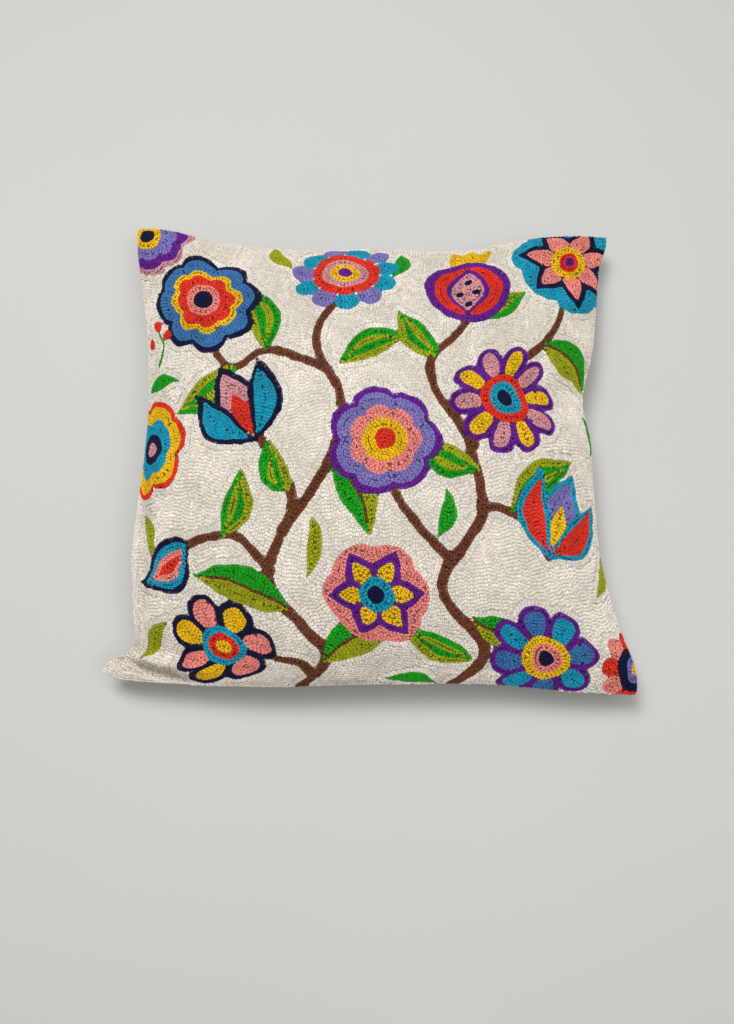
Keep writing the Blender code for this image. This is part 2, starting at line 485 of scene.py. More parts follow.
def blurred(field, radius):
    """A field softened by two passes of a moving average, radius pixels to each side."""
    for _ in range(2):
        for axis in (0, 1):
            margin = [(radius + 1, radius) if side == axis else (0, 0) for side in (0, 1)]
            total = np.cumsum(np.pad(field, margin, mode="edge"), axis=axis, dtype=np.float64)
            size = field.shape[axis]
            high = np.take(total, np.arange(2 * radius + 1, 2 * radius + 1 + size), axis=axis)
            low = np.take(total, np.arange(size), axis=axis)
            field = (high - low) / (2 * radius + 1)
    return field


# Sides of a raster cell that a contour crosses, for each pattern of corners above the level. The sides
# are numbered from the bottom one, anticlockwise.
CROSSINGS = {
    1: [(3, 0)], 2: [(0, 1)], 3: [(3, 1)], 4: [(1, 2)], 5: [(3, 0), (1, 2)], 6: [(0, 2)], 7: [(3, 2)],
    8: [(2, 3)], 9: [(2, 0)], 10: [(0, 1), (2, 3)], 11: [(2, 1)], 12: [(1, 3)], 13: [(1, 0)], 14: [(0, 3)],
}


def contours(field, level):
    """The lines along which a field has a level, as (column, row). Closed ones repeat their start."""
    above = field > level
    case = above[:-1, :-1] * 1 + above[:-1, 1:] * 2 + above[1:, 1:] * 4 + above[1:, :-1] * 8
    rows, columns = np.nonzero((case > 0) & (case < 15))
    neighbours, places = {}, {}
    for row, column in zip(rows.tolist(), columns.tolist()):
        sides = ((row, column, 0), (row, column + 1, 1), (row + 1, column, 0), (row, column, 1))
        for pair in CROSSINGS[int(case[row, column])]:
            first, second = (sides[side] for side in pair)
            for side in (first, second):
                if side not in places:
                    r0, c0, upright = side
                    r1, c1 = r0 + upright, c0 + 1 - upright
                    part = (level - field[r0, c0]) / (field[r1, c1] - field[r0, c0])
                    places[side] = (c0 + (c1 - c0) * part, r0 + (r1 - r0) * part)
            neighbours.setdefault(first, []).append(second)
            neighbours.setdefault(second, []).append(first)
    lines, used = [], set()
    ends = [key for key, others in neighbours.items() if len(others) == 1]
    for start in ends + list(neighbours):
        if start in used:
            continue
        line, at = [start], start
        used.add(start)
        while True:
            onward = [key for key in neighbours[at] if key not in used]
            if not onward:
                break
            at = onward[0]
            used.add(at)
            line.append(at)
        if len(line) > 2 and start in neighbours[at] and len(neighbours[start]) == 2:
            line.append(start)
        lines.append(np.array([places[key] for key in line]))
    return lines


class Needlework:
    """The links of chain stitch on the panel, laid one by one wherever the cloth is still free."""

    # How far from its middle a link has to find free cloth, and the half length and half width of the
    # cloth that it takes up: shares of the link's length, and the last one of the row spacing.
    SEARCH, HALF_LENGTH, HALF_WIDTH = 0.38, 0.4, 0.64

    def __init__(self, zone, row, pitch, seed):
        self.zone, self.row, self.pitch = zone, row, pitch
        self.taken = np.zeros(zone.shape, bool)
        self.links = []
        self.rng = np.random.default_rng(seed)

    def pixel(self, u, v):
        """The raster's row and column at a place."""
        last = self.zone.shape[0] - 1
        return tuple(min(last, max(0, int((place + PANEL / 2) / PIXEL))) for place in (v, u))

    def free(self, u, v, way, length):
        """True if no link lies on the middle or near the ends of this one."""
        reach = self.SEARCH * length
        return not any(
            self.taken[self.pixel(u + share * reach * math.cos(way), v + share * reach * math.sin(way))]
            for share in (0, -1, 1)
        )

    def mark(self, u, v, way, length):
        """Marks the cloth under a link as taken."""
        half, reach = length * self.HALF_LENGTH, self.HALF_WIDTH * self.row
        span = int((half + reach) / PIXEL) + 1
        row, column = self.pixel(u, v)
        size = self.zone.shape[0]
        rows = slice(max(0, row - span), min(size, row + span + 1))
        columns = slice(max(0, column - span), min(size, column + span + 1))
        du = place_of(np.arange(columns.start, columns.stop)) - u
        dv = (place_of(np.arange(rows.start, rows.stop)) - v)[:, None]
        across = dv * math.cos(way) - du * math.sin(way)
        over = np.clip(np.abs(du * math.cos(way) + dv * math.sin(way)) - half, 0, None)
        self.taken[rows, columns] |= over * over + across * across < reach * reach

    def lay(self, line, allowed):
        """Lays links end to end along a line, wherever a raster allows it and the cloth is free."""
        if self.rng.random() < 0.5:
            line = line[::-1]
        along = np.r_[0, np.cumsum(np.hypot(*np.diff(line, axis=0).T))]
        total = along[-1]
        if total < 0.6 * self.pitch:
            return
        closed = np.allclose(line[0], line[-1])
        count = max(1, round(total / (self.pitch * self.rng.uniform(0.94, 1.06))))
        pitch = total / count
        middles = (np.arange(count) + 0.5) * pitch
        starts, ends = np.clip(middles - pitch / 2, 0, total), np.clip(middles + pitch / 2, 0, total)
        u, v = (np.interp(middles, along, line[:, side]) for side in (0, 1))
        du, dv = (np.interp(ends, along, line[:, side]) - np.interp(starts, along, line[:, side])
                  for side in (0, 1))
        ways = np.arctan2(dv, du)
        behind, held = [], []
        for step, link in enumerate(zip(u.tolist(), v.tolist(), ways.tolist())):
            if len(behind) > 1:
                self.mark(*behind.pop(0))
            if allowed[self.pixel(*link[:2])] and self.free(*link, pitch):
                self.links.append((*link, pitch, 1.0))
                waiting = held if closed and step < 2 else behind
                waiting.append((*link, pitch))
        for link in behind + held:
            self.mark(*link)

    def fill(self, distance, length):
        """Lays single links in what is left, along the nearest zone edge, the barest places first.

        A place counts when over a fifth of the cloth round it is bare, and its link is as wide as fits.
        """
        dv, du = np.gradient(distance)
        uu, uv, vv = blurred(du * du, 2), blurred(du * dv, 2), blurred(dv * dv, 2)
        ways = 0.5 * np.arctan2(2 * uv, uu - vv) + math.pi / 2
        bare = blurred(1.0 - self.taken, 2)
        rows, columns = np.nonzero(~self.taken & (bare > 0.20))
        order = np.argsort(-bare[rows, columns] + self.rng.uniform(0, 0.1, len(rows)))
        for row, column in zip(rows[order].tolist(), columns[order].tolist()):
            if not self.taken[row, column]:
                link = (place_of(column), place_of(row), float(ways[row, column]), length)
                self.links.append((*link, min(1.0, 0.5 + bare[row, column])))
                self.mark(*link)


# How far inside its zone's edge the first row of links lies, as a share of the zone's own spacing,
# and how close the ground's rows round a motif are, as a share of the row spacing.
FIRST_ROW = 0.45
GROUND_SPACING = 0.94

# How narrow and how wide a zone's spacing may be, as shares of the row spacing, and how wide a link
# may be made or how narrow where the ground's long rows run together or apart.
SPACING_SPAN = (0.85, 1.25)
CROWDING_SPAN = (0.8, 1.15)

# How far the needlework looks for a zone's edge, in millimetres.
EDGE_REACH = 30

# The length of the single links that fill what is left, as a share of the pitch.
FILLER = 0.85

# Waves of the ground's long rows. Columns: swing and length in millimetres, phase, slant in millimetres.
WAVES = ((13, 70, 0.5, 150), (6, 31, 0.0, 60))


def embroider(pattern, row, pitch):
    """All links as rows of (u, v, way, length, share of the full width), and each link's yarn.

    Every zone is worked in rows that follow its outline, and spread so that they meet in its middle.
    The ground has two rows round each motif, then long wavy rows from top to bottom.
    """
    zone = pattern.zone
    distance = blurred(edge_distance(zone, EDGE_REACH), 1)
    widest = np.zeros(len(pattern.yarns))
    np.maximum.at(widest, zone.ravel(), distance.ravel())
    spacing = 2 * widest / np.maximum(1, np.round(2 * (widest + 0.15) / row))
    spacing = np.clip(spacing, *(share * row for share in SPACING_SPAN))
    spacing[0] = GROUND_SPACING * row
    rounds = distance / spacing[zone]
    work = Needlework(zone, row, pitch, 5)
    anywhere, in_motif, in_ground = zone >= 0, zone > 0, zone == 0

    def on_panel(line, pixel=PIXEL):
        return line * pixel + 0.5 * PIXEL - PANEL / 2

    for step in range(math.ceil(rounds[in_motif].max())):
        lines = sorted(contours(rounds, step + FIRST_ROW), key=len, reverse=True)
        for line in lines:
            work.lay(on_panel(line), anywhere if step < 2 else in_motif)
    worked = len(work.links)
    steps = np.arange(0.5, len(zone), 2) * PIXEL - PANEL / 2
    u, v = np.meshgrid(steps, steps)
    drift = u
    for swing, length, phase, slant in WAVES:
        drift = drift + swing * np.sin(v / length + phase + u / slant)
    drift = drift + 2 * waver(u, v, 40, 9)
    for step in range(int(drift.min() / row), int(drift.max() / row) + 1):
        for line in contours(drift, step * row):
            work.lay(on_panel(line, 2 * PIXEL), in_ground)
    long_rows = slice(worked, len(work.links))
    work.fill(distance, FILLER * pitch)
    links = np.array(work.links)
    pixels = np.array([work.pixel(u, v) for u, v in links[:, :2]])
    zones = zone[tuple(pixels.T)]
    links[:, 4] *= spacing[zones] / row
    crowding = np.hypot(*np.gradient(drift, 2 * PIXEL))
    cells = np.minimum(pixels[long_rows] // 2, len(steps) - 1)
    links[long_rows, 4] /= np.clip(crowding[tuple(cells.T)], *CROWDING_SPAN)
    return links, np.array(pattern.yarns)[zones]


def rows_of(items, name):
    """A three-part value of every item of a mesh, as rows of an array."""
    values = np.empty(len(items) * 3)
    items.foreach_get(name, values)
    return values.reshape(-1, 3)


def panel_places(data):
    """Each vertex's place on the flat panel and its side, and how far inside the seams it is."""
    places = rows_of(data.attributes[PLACE].data, "vector")
    return places, PANEL / 2 - np.abs(places[:, :2]).max(axis=1)


def grid_cells(places, cells):
    """The columns and the rows of places in a panel's grid."""
    return np.rint((places[:, :2] / PANEL + 0.5) * cells).astype(int).T


def move_vertices(data, points):
    """Moves a mesh's vertices to new points."""
    data.vertices.foreach_set("co", points.ravel())
    data.update()


def as_data(mesh, name):
    """Turns a bmesh into mesh data."""
    data = bpy.data.meshes.new(name)
    mesh.to_mesh(data)
    mesh.free()
    return data


def merged_cushion():
    """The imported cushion's mesh with its loose triangles merged."""
    mesh = bmesh.new()
    mesh.from_mesh(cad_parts["cushion"].data)
    bmesh.ops.remove_doubles(mesh, verts=mesh.verts, dist=1e-6)
    mesh.normal_update()
    return mesh


def seam_sides(mesh):
    """The front panel's seam line as four polylines: bottom and top rightwards, left and right upwards."""
    def upright(face):
        return abs(face.normal.z) < 1e-3

    seam = [
        edge for edge in mesh.edges
        if sum(upright(face) for face in edge.link_faces) == 1
        and any(face.normal.z > 1e-3 for face in edge.link_faces)
    ]
    onward = {}
    for edge in seam:
        for vertex in edge.verts:
            onward.setdefault(vertex, []).append(edge.other_vert(vertex))
    turns = {
        (right, up): max(onward, key=lambda vertex: right * vertex.co.x + up * vertex.co.y)
        for right in (-1, 1) for up in (-1, 1)
    }

    def side(start, end):
        for first in onward[turns[start]]:
            line, before = [turns[start], first], turns[start]
            while line[-1] not in turns.values():
                ahead = next(vertex for vertex in onward[line[-1]] if vertex is not before)
                before = line[-1]
                line.append(ahead)
            if line[-1] is turns[end]:
                return np.array([vertex.co[:] for vertex in line])
        raise RuntimeError("the cushion's seam doesn't run from corner to corner")

    return {
        "bottom": side((-1, -1), (1, -1)),
        "top": side((-1, 1), (1, 1)),
        "left": side((-1, -1), (-1, 1)),
        "right": side((1, -1), (1, 1)),
    }


def along_line(line, share):
    """Points of a polyline at shares of its length."""
    lengths = np.r_[0, np.cumsum(np.linalg.norm(np.diff(line, axis=0), axis=1))]
    return np.stack([np.interp(share, lengths / lengths[-1], line[:, axis]) for axis in range(3)], axis=-1)


class PackedFace:
    """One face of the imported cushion, read at shares across and up its panel."""

    def __init__(self, sides, tree, front):
        self.sides, self.tree, self.front = sides, tree, front
        self.corner = {
            (0, 0): sides["bottom"][0], (1, 0): sides["bottom"][-1],
            (0, 1): sides["top"][0], (1, 1): sides["top"][-1],
        }

    def read(self, across, up):
        """Points of the face. Its plan is blended from the four seam lines, its height is the cushion's."""
        a, b = across[..., None], up[..., None]
        points = (
            (1 - b) * along_line(self.sides["bottom"], across) + b * along_line(self.sides["top"], across)
            + (1 - a) * along_line(self.sides["left"], up) + a * along_line(self.sides["right"], up)
        )
        for (right, high), corner in self.corner.items():
            points = points - corner * (a if right else 1 - a) * (b if high else 1 - b)
        start, down = (1.0, -1.0) if self.front else (-1.0, 1.0)
        inner = (across > 1e-6) & (across < 1 - 1e-6) & (up > 1e-6) & (up < 1 - 1e-6)
        if not self.front:
            points[..., 2] -= EDGE
        for place in np.argwhere(inner):
            x, y, _ = points[tuple(place)]
            hit = self.tree.ray_cast(Vector((x, y, start)), Vector((0, 0, down)))[0]
            if hit is not None:
                points[tuple(place)][2] = hit.z
        return points

    def even_grid(self):
        """A grid of points whose rows and columns are evenly spaced over the curved face."""
        shares = np.linspace(0, 1, CELLS + 1)
        across, up = np.meshgrid(shares, shares)
        for _ in range(EVENING_ROUNDS):
            for turned in (False, True):
                points = self.read(across, up)
                if turned:
                    across, up, points = across.T, up.T, points.swapaxes(0, 1)
                gaps = np.linalg.norm(np.diff(points, axis=1), axis=2)
                lengths = np.concatenate([np.zeros((CELLS + 1, 1)), np.cumsum(gaps, axis=1)], axis=1)
                across, up = (
                    np.array([np.interp(shares * way[-1], way, line) for way, line in zip(lengths, lines)])
                    for lines in (across, up)
                )
                if turned:
                    across, up = across.T, up.T
        return self.read(across, up)


def softened(points):
    """A grid of points with its small facets smoothed away, and its border kept."""
    for _ in range(2):
        middle = (points[:-2, 1:-1] + points[2:, 1:-1] + points[1:-1, :-2] + points[1:-1, 2:]) / 4
        points[1:-1, 1:-1] += 0.6 * (middle - points[1:-1, 1:-1])
    return points


def add_panel(mesh, points, side):
    """Lays one panel of the cover on a grid of points. Side is 1 for the front and -1 for the back."""
    place = mesh.verts.layers.float_vector[PLACE]
    grid = bmesh.ops.create_grid(mesh, x_segments=CELLS, y_segments=CELLS, size=0.5)
    for vertex in grid["verts"]:
        column, row = round((vertex.co.x + 0.5) * CELLS), round((vertex.co.y + 0.5) * CELLS)
        vertex[place] = ((column / CELLS - 0.5) * PANEL, (row / CELLS - 0.5) * PANEL, side)
        vertex.co = points[row, column]


def sewn_cover(seam_depth):
    """The cover as sewn: two panels, and between them the dip where their turned edges meet."""
    packed = merged_cushion()
    sides, tree = seam_sides(packed), BVHTree.FromBMesh(packed)
    packed.free()
    mesh = bmesh.new()
    mesh.verts.layers.float_vector.new(PLACE)
    add_panel(mesh, softened(PackedFace(sides, tree, False).even_grid()), -1)
    bmesh.ops.reverse_faces(mesh, faces=mesh.faces)
    add_panel(mesh, softened(PackedFace(sides, tree, True).even_grid()), 1)
    rim = [edge for edge in mesh.edges if edge.is_boundary]
    wall = bmesh.ops.bridge_loops(mesh, edges=rim)["faces"]
    uprights = {edge for face in wall for edge in face.edges} - set(rim)
    cut = bmesh.ops.subdivide_edges(mesh, edges=list(uprights), cuts=1)
    middle = [item for item in cut["geom_inner"] if isinstance(item, bmesh.types.BMVert)]
    place = mesh.verts.layers.float_vector[PLACE]
    for vertex in middle:
        vertex[place] = (vertex[place].x, vertex[place].y, 0)
        inward = -Vector((vertex.co.x, vertex.co.y, 0)).normalized()
        vertex.co += inward * seam_depth
    bmesh.ops.recalc_face_normals(mesh, faces=mesh.faces)
    return mesh


def filled(cover, pressure, spare, cap):
    """Blows the cover up as its filling does, with its seam held, and keeps each point's move under cap."""
    data = cover.data
    places, inside = panel_places(data)
    held = cover.vertex_groups.new(name=CLOTH["vertex_group_mass"])
    for index, depth in enumerate(inside):
        weight = max(0.0, 1 - depth / HELD_WIDTH)
        if weight > 0:
            held.add([index], weight, "REPLACE")
    cloth = cover.modifiers.new("cover", "CLOTH")
    filling = {"uniform_pressure_force": pressure, "shrink_min": -spare, "shrink_max": -spare}
    for name, value in (CLOTH | filling).items():
        setattr(cloth.settings, name, value)
    cloth.settings.effector_weights.gravity = 0
    cloth.point_cache.frame_start = 1
    cloth.point_cache.frame_end = FRAMES
    for step in range(1, FRAMES + 1):
        bpy.context.scene.frame_set(step)
    shape = cover.evaluated_get(bpy.context.evaluated_depsgraph_get()).to_mesh()
    before, after = rows_of(data.vertices, "co"), rows_of(shape.vertices, "co")
    cover.modifiers.remove(cloth)
    bpy.context.scene.frame_set(1)
    move = after - before
    for side in (1, -1):
        panel = places[:, 2] == side
        column, row = grid_cells(places[panel], CELLS)
        swell = np.zeros((CELLS + 1, CELLS + 1, 3))
        swell[row, column] = move[panel]
        swell = np.stack([blurred(swell[..., axis], SWELL_REACH) for axis in range(3)], axis=-1)
        move[panel] -= swell[row, column] * np.clip(inside[panel] / SWELL_EASE, 0, 1)[:, None]
    length = np.linalg.norm(move, axis=1, keepdims=True)
    move *= np.minimum(1, cap / np.maximum(length, 1e-9))
    moved = before + move
    moved[:, 2] = np.maximum(moved[:, 2], 0)
    move_vertices(data, moved)


# Creases pressed in by the cushion's own weight: points in plan, half width, depth (minus is a ridge).
# Each fades out over the second half of its length.
CREASES = (
    (((-0.188, -0.1795), (-0.172, -0.1855), (-0.150, -0.1895), (-0.110, -0.195)), 0.0058, -0.0100),
    (((-0.212, -0.175), (-0.195, -0.1862), (-0.177, -0.1918), (-0.160, -0.1955), (-0.126, -0.2045)),
     0.0036, 0.0160),
    (((-0.1885, -0.178), (-0.1865, -0.150), (-0.187, -0.060), (-0.189, 0.000)), 0.0052, 0.0075),
    (((-0.172, -0.158), (-0.170, -0.110), (-0.173, -0.020), (-0.175, 0.060)), 0.0090, -0.0045),
    (((0.203, -0.112), (0.197, -0.172)), 0.0050, 0.0035),
    (((0.190, 0.046), (0.140, 0.034)), 0.0060, 0.0035),
)

# The share of the cushion's thickness that a crease may take.
CREASE_ROOM = 0.85


def creased(data):
    """Presses the creases into the front."""
    places, inside = panel_places(data)
    points = rows_of(data.vertices, "co")
    count = len(points)
    front, back = places[:, 2] > FRONT, places[:, 2] < 1 - FRONT
    column, row = grid_cells(places, 2 * CELLS)
    under = np.zeros((2 * CELLS + 1, 2 * CELLS + 1))
    under[row[back], column[back]] = points[back, 2]
    room = CREASE_ROOM * (points[:, 2] - under[row, column])
    hold = np.where(front, np.clip(inside / CREASE_EASE, 0, 1), 0)
    drop = np.zeros(count)
    for line, half_width, depth in CREASES:
        line = np.array(line)
        runs = np.diff(line, axis=0)
        lengths = np.hypot(*runs.T)
        starts = np.r_[0, np.cumsum(lengths)[:-1]] / lengths.sum()
        nearest, share = np.full(count, np.inf), np.zeros(count)
        for start, run, length, before in zip(line, runs, lengths, starts):
            away = points[:, :2] - start
            along = np.clip(away @ run / length**2, 0, 1)
            gap = np.linalg.norm(away - along[:, None] * run, axis=1)
            closer = gap < nearest
            nearest = np.where(closer, gap, nearest)
            share = np.where(closer, before + along * length / lengths.sum(), share)
        fading = 0.5 + 0.5 * np.cos(math.pi * np.clip(2 * share - 1, 0, 1))
        drop += depth * hold * fading * np.exp(-((nearest / half_width) ** 2))
    points[:, 2] -= np.minimum(drop, np.where(front, room, 0))
    move_vertices(data, points)


def subdivided(cover):
    """Applies one level of subdivision to the cover."""
    modifier = cover.modifiers.new("soft", "SUBSURF")
    modifier.levels = 1
    modifier.render_levels = 1
    data = bpy.data.meshes.new_from_object(cover.evaluated_get(bpy.context.evaluated_depsgraph_get()))
    data.name = cover.name
    cover.modifiers.clear()
    cover.data = data
    return data


class FrontFace:
    """The finished front of the cover, read at places of the flat panel in millimetres."""

    def __init__(self, cover):
        data = cover.data
        places, _ = panel_places(data)
        front = places[:, 2] > FRONT
        self.size = 2 * CELLS
        self.step = PANEL / self.size
        column, row = grid_cells(places[front], self.size)
        self.points, self.normals = (np.zeros((self.size + 1, self.size + 1, 3)) for _ in range(2))
        self.points[row, column] = rows_of(data.vertices, "co")[front]
        self.normals[row, column] = rows_of(data.vertex_normals, "vector")[front]
        self.du, self.dv = (np.gradient(self.points, self.step * MM, axis=axis) for axis in (1, 0))

    def read(self, u, v):
        """Points, normals, and how the point moves with u and with v, at places of the panel."""
        x = np.clip((u + PANEL / 2) / self.step, 0, self.size - 1e-6)
        y = np.clip((v + PANEL / 2) / self.step, 0, self.size - 1e-6)
        column, row = x.astype(int), y.astype(int)
        right, up = (x - column)[:, None], (y - row)[:, None]
        found = []
        for grid in (self.points, self.normals, self.du, self.dv):
            low = grid[row, column] * (1 - right) + grid[row, column + 1] * right
            high = grid[row + 1, column] * (1 - right) + grid[row + 1, column + 1] * right
            found.append(low * (1 - up) + high * up)
        return found


def add_node(material, kind, values=None, **settings):
    """Adds a node with its own settings, and its inputs' values or the sockets that feed them."""
    tree = material.node_tree
    node = tree.nodes.new(kind)
    for name, value in settings.items():
        setattr(node, name, value)
    for name, value in (values or {}).items():
        if isinstance(value, bpy.types.NodeSocket):
            tree.links.new(value, node.inputs[name])
        else:
            node.inputs[name].default_value = value
    return node


def noise(material, vector, scale, detail):
    """The value of a noise that follows a vector."""
    values = {"Vector": vector, "Scale": scale, "Detail": detail}
    return add_node(material, "ShaderNodeTexNoise", values).outputs["Fac"]


def joined(material, operation, first, second):
    """The sum or product of two values."""
    return add_node(material, "ShaderNodeMath", {0: first, 1: second}, operation=operation).outputs[0]


def spread(material, value, from_span, to_span):
    """A value moved from one span to another."""
    values = {"Value": value, "From Min": from_span[0], "From Max": from_span[1]}
    values |= {"To Min": to_span[0], "To Max": to_span[1]}
    return add_node(material, "ShaderNodeMapRange", values).outputs[0]


def toned(material, colour, value):
    """A colour made lighter or darker by a value."""
    return add_node(material, "ShaderNodeHueSaturation", {"Value": value, "Color": colour}).outputs[0]


def raised(material, height, strength, distance):
    """The normal of a surface that has a height."""
    values = {"Height": height, "Strength": strength, "Distance": distance}
    return add_node(material, "ShaderNodeBump", values).outputs[0]


def new_material(name):
    """A material with an unlinked Principled shader."""
    material = bpy.data.materials.new(name)
    material.use_nodes = True
    return material


def finish_shader(material, colour, values, normal=None):
    """Gives a material's shader its colour, its own uniform values, and its normal if it has one."""
    shader = material.node_tree.nodes["Principled BSDF"]
    material.node_tree.links.new(colour, shader.inputs["Base Color"])
    if normal is not None:
        material.node_tree.links.new(normal, shader.inputs["Normal"])
    for name, value in values.items():
        shader.inputs[name].default_value = value


def yarn_material(name, colour):
    """Two-ply wool yarn, spun, dyed and chain-stitched.

    Its fibres scatter light, so it is matt with a soft bloom at grazing angles. Each link has taken
    a little more or less of the dye, and the ply shows as slanting ridges 0.8 mm apart.
    """
    material = new_material(name)
    shade = add_node(material, "ShaderNodeAttribute", attribute_name="shade").outputs["Fac"]
    place = add_node(material, "ShaderNodeTexCoord").outputs["Object"]
    uneven = joined(material, "ADD", noise(material, place, 38.0, 2.0), noise(material, place, 1400.0, 1.0))
    lot = spread(material, uneven, (0.7, 1.3), (0.84, 1.14))
    dyed = toned(material, (*colour, 1.0), joined(material, "MULTIPLY", lot, shade))
    strand = add_node(material, "ShaderNodeUVMap", uv_map="strand").outputs[0]
    slant = add_node(
        material, "ShaderNodeMapping",
        {"Vector": strand, "Rotation": (0, 0, math.radians(35)), "Scale": (2.0, 2.0, 1.0)},
    ).outputs[0]
    ply = add_node(
        material, "ShaderNodeTexWave", {"Vector": slant, "Scale": 1.1, "Distortion": 1.2, "Detail": 1.0},
    ).outputs["Fac"]
    matt = {"Roughness": 0.85, "Sheen Weight": 0.03, "Sheen Roughness": 0.5, "Specular IOR Level": 0.12}
    finish_shader(material, dyed, matt, raised(material, ply, 0.5, 0.15 * MM))
    return material


def cover_material():
    """Cotton duck in plain weave, unbleached and washed, in the colours of the mesh's "tint".

    Threads 1 mm apart, drawn at that size although a fine duck has 0.6 mm, show as a small
    check. The cloth of the front is painted with shade: a darkened colour of the yarn that lies on it,
    standing in for the shade in the gaps between the links. The back keeps the cloth's own colour.
    """
    material = new_material("unbleached cotton duck")
    panel = add_node(material, "ShaderNodeAttribute", attribute_name=PLACE).outputs["Vector"]
    threads = {"Vector": panel, "Scale": 0.314, "Distortion": 0.6, "Detail": 1.0, "Detail Scale": 0.6}
    warp, weft = (
        add_node(material, "ShaderNodeTexWave", threads, bands_direction=axis).outputs["Fac"]
        for axis in ("X", "Y")
    )
    weave = joined(material, "MULTIPLY", warp, weft)
    height = joined(material, "ADD", weave, noise(material, panel, 0.11, 4.0))
    # Painted shade on the front between the links, and the cloth's own colour on the back.
    painted_shade_and_cloth = add_node(material, "ShaderNodeAttribute", attribute_name="painted_shade_and_cloth").outputs["Color"]
    cloth = toned(material, painted_shade_and_cloth, spread(material, height, (0.2, 1.6), (0.86, 1.06)))
    matt = {"Roughness": 0.88, "Sheen Weight": 0.03, "Specular IOR Level": 0.12}
    finish_shader(material, cloth, matt, raised(material, height, 0.7, 0.3 * MM))
    return material


def floor_material(colour):
    """Matt painted plaster board, rolled: a faint cloudiness and no shine."""
    material = new_material("matt pale paint")
    place = add_node(material, "ShaderNodeTexCoord").outputs["Object"]
    cloud = spread(material, noise(material, place, 2.0, 3.0), (0, 1), (0.96, 1.03))
    finish_shader(material, toned(material, (*colour, 1.0), cloud), {"Roughness": 0.9})
    return material


def finished_piece(name, data, material):
    """Makes an object of a mesh, in the scene and riding on the cushion's body."""
    data.materials.clear()
    data.materials.append(material)
    data.shade_smooth()
    piece = bpy.data.objects.new(name, data)
    bpy.context.scene.collection.objects.link(piece)
    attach(piece, "root")
    return piece


def link_template(length, width, thickness):
    """One link of chain stitch along +X: two strands that start together and open to the next link.

    Returns its vertices, its triangles and the (round, along) place of each triangle corner.
    """
    mesh = bmesh.new()
    mesh.loops.layers.uv.new("strand")
    strand_width, apart, opening = 0.56 * width, 0.24 * width, 13
    for side in (1, -1):
        ball = bmesh.ops.create_uvsphere(mesh, u_segments=4, v_segments=3, radius=0.5, calc_uvs=True)
        strand = ball["verts"]
        for turn, axis in ((45, "Z"), (90, "Y")):
            bmesh.ops.rotate(mesh, verts=strand, matrix=Matrix.Rotation(math.radians(turn), 3, axis))
        bmesh.ops.scale(mesh, verts=strand, vec=(length, strand_width, thickness))
        bmesh.ops.rotate(mesh, verts=strand, matrix=Matrix.Rotation(math.radians(opening * side), 3, "Z"))
        bmesh.ops.translate(mesh, verts=strand, vec=(0, apart * side, 0))
    bmesh.ops.triangulate(mesh, faces=mesh.faces)
    mesh.verts.index_update()
    round_along = mesh.loops.layers.uv["strand"]
    points = np.array([vertex.co[:] for vertex in mesh.verts])
    faces = np.array([[vertex.index for vertex in face.verts] for face in mesh.faces])
    strands = np.array([[loop[round_along].uv[:] for loop in face.loops] for face in mesh.faces])
    mesh.free()
    return points, faces, strands


def stitched_mesh(name, face, links, template, lift, seed):
    """One joined mesh of all the links given, laid on the front of the cover."""
    rng = np.random.default_rng(seed)
    points, faces, strands = template
    count, size = len(links), len(points)
    u = links[:, 0] + rng.normal(0, PLACE_ERROR, count)
    v = links[:, 1] + rng.normal(0, PLACE_ERROR, count)
    way = links[:, 2] + rng.normal(0, math.radians(TURN_ERROR), count)
    stretch = links[:, 3] / PITCH_OF_TEMPLATE
    place, normal, du, dv = face.read(u, v)
    cos, sin = np.cos(way)[:, None], np.sin(way)[:, None]
    forward, sideways = du * cos + dv * sin, dv * cos - du * sin
    normal /= np.linalg.norm(normal, axis=1, keepdims=True)
    plump = rng.normal(1, FULLNESS_ERROR, (count, 1))
    height = lift + rng.normal(0, HEIGHT_ERROR, (count, 1)) * MM
    x, y, z = (points[None, :, axis, None] for axis in range(3))
    laid = (
        (place + normal * height)[:, None, :]
        + x * (forward * stretch[:, None] * plump)[:, None, :]
        + y * (sideways * plump * links[:, 4:5])[:, None, :]
        + z * (normal * plump)[:, None, :]
    )
    data = bpy.data.meshes.new(name)
    data.vertices.add(count * size)
    data.vertices.foreach_set("co", laid.astype(np.float32).ravel())
    loops = (faces[None] + np.arange(count)[:, None, None] * size).reshape(-1)
    data.loops.add(len(loops))
    data.loops.foreach_set("vertex_index", loops.astype(np.int32))
    data.polygons.add(len(loops) // 3)
    data.polygons.foreach_set("loop_start", np.arange(0, len(loops), 3, dtype=np.int32))
    data.update(calc_edges=True)

    shade = data.attributes.new("shade", "FLOAT", "POINT")
    tone = 1 + np.clip(rng.normal(0, TONE_ERROR, count), -MOST_TONE, MOST_TONE)
    shade.data.foreach_set("value", np.repeat(tone, size).astype(np.float32))
    ply = data.uv_layers.new(name="strand")
    ply.data.foreach_set("uv", np.tile(strands.reshape(-1), count).astype(np.float32))
    flat = np.stack([
        u[:, None] + (points[None, :, 0] * cos * stretch[:, None] - points[None, :, 1] * sin) / MM,
        v[:, None] + (points[None, :, 0] * sin * stretch[:, None] + points[None, :, 1] * cos) / MM,
    ], axis=-1).reshape(-1, 2)
    uv = (flat[loops] / PANEL + 0.5) * (1 - 2 * BAKE_MARGIN) + BAKE_MARGIN
    baked = data.uv_layers.new(name="OFBake")
    baked.data.foreach_set("uv", uv.astype(np.float32).ravel())
    return data


def length_setting(name, description, default):
    """A setting in metres."""
    return FloatProperty(name=name, description=description, default=default, unit="LENGTH")


def colour_setting(name, description, colour):
    """A setting that is a colour, from its sRGB code."""
    return FloatVectorProperty(
        name=name, description=description, subtype="COLOR", default=linear(colour), min=0.0, max=1.0,
    )


